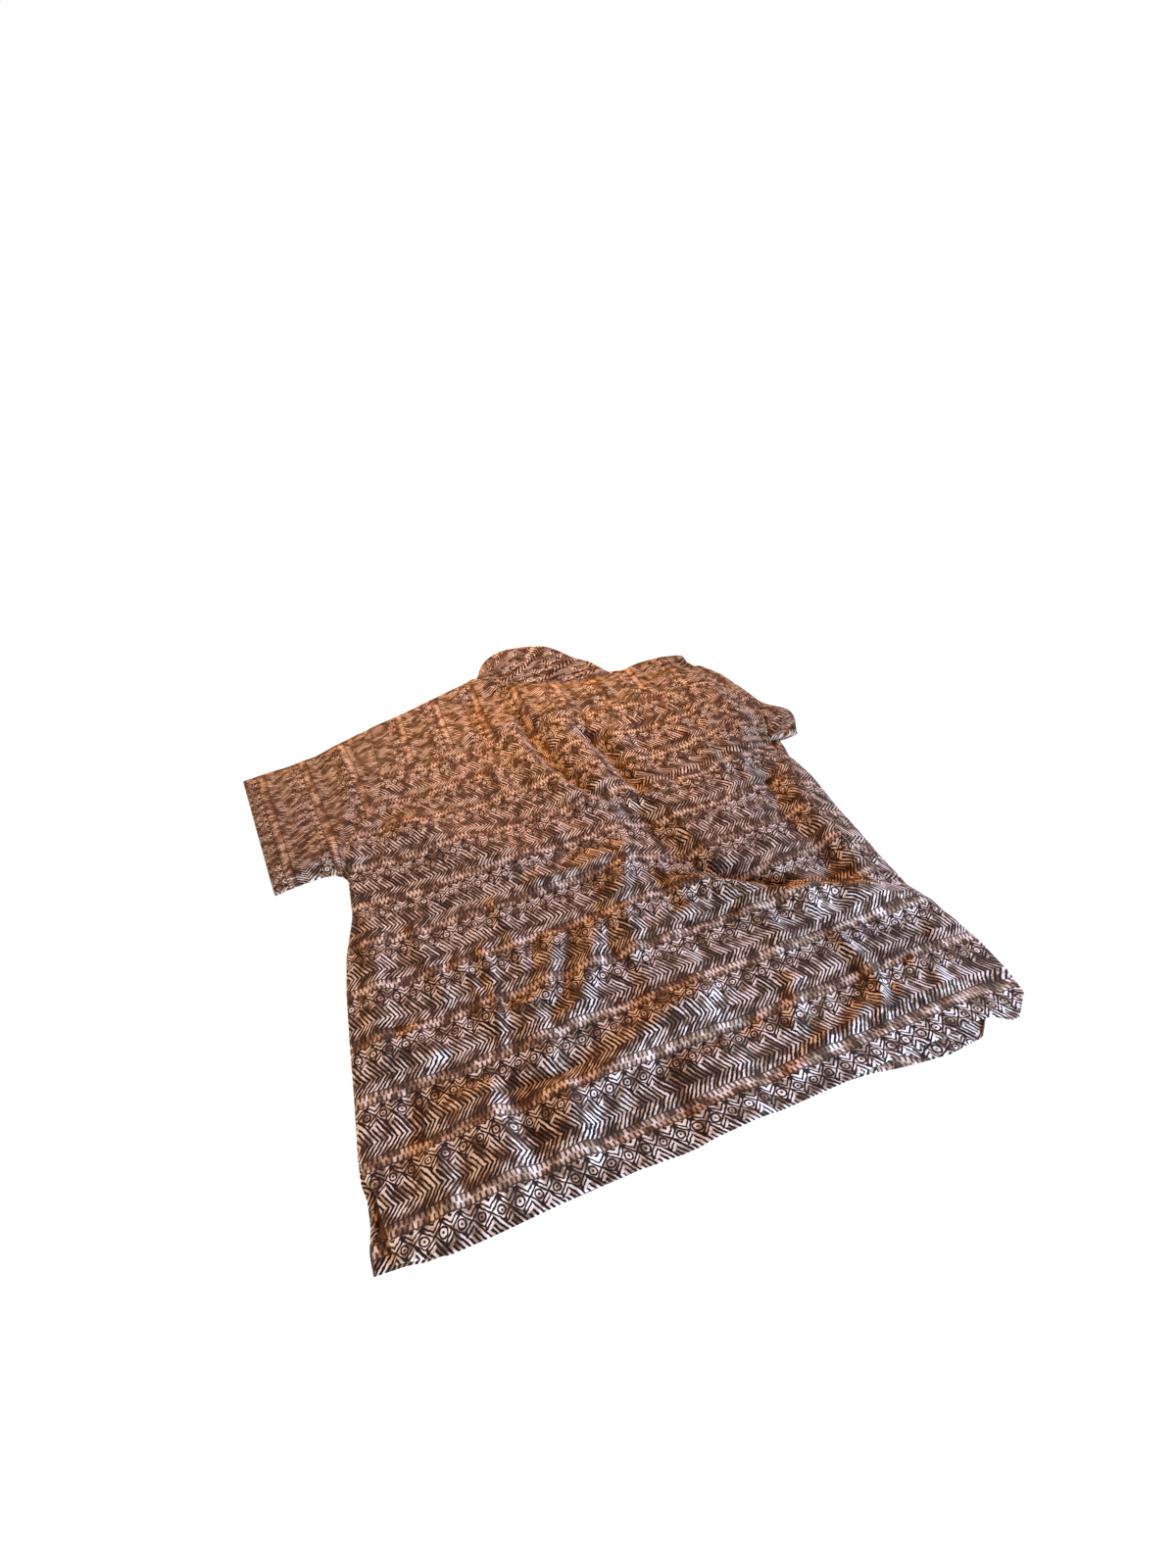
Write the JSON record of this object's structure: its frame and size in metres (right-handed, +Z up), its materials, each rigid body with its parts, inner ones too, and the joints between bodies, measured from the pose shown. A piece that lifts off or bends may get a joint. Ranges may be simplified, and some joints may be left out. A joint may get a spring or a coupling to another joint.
{
  "type": "short-sleeved hawaiian shirt laid flat",
  "caption": "Short-sleeved shirt laid flat on its front, back and yoke up, collar turned up, one sleeve spread and the other folded under.",
  "frame": {"origin": "middle of the shirt's outline, on the surface it lies on", "axes": "+X towards the wearer's right, +Y from the hem to the neck, +Z up from the surface"},
  "size_m": [0.7276, 0.7726, 0.0416],
  "materials": {
    "printed_cloth": "matte woven cotton, printed brown on cream",
    "button": "polished dark brown"
  },
  "bodies": {
    "root": {"back": "printed_cloth", "yoke": "printed_cloth", "front_left": "printed_cloth", "front_right": "printed_cloth", "sleeve_left": "printed_cloth", "sleeve_right": "printed_cloth", "collar": "printed_cloth", "button_1": "button", "button_2": "button", "button_3": "button", "button_4": "button", "button_5": "button"}
  },
  "joints": []
}
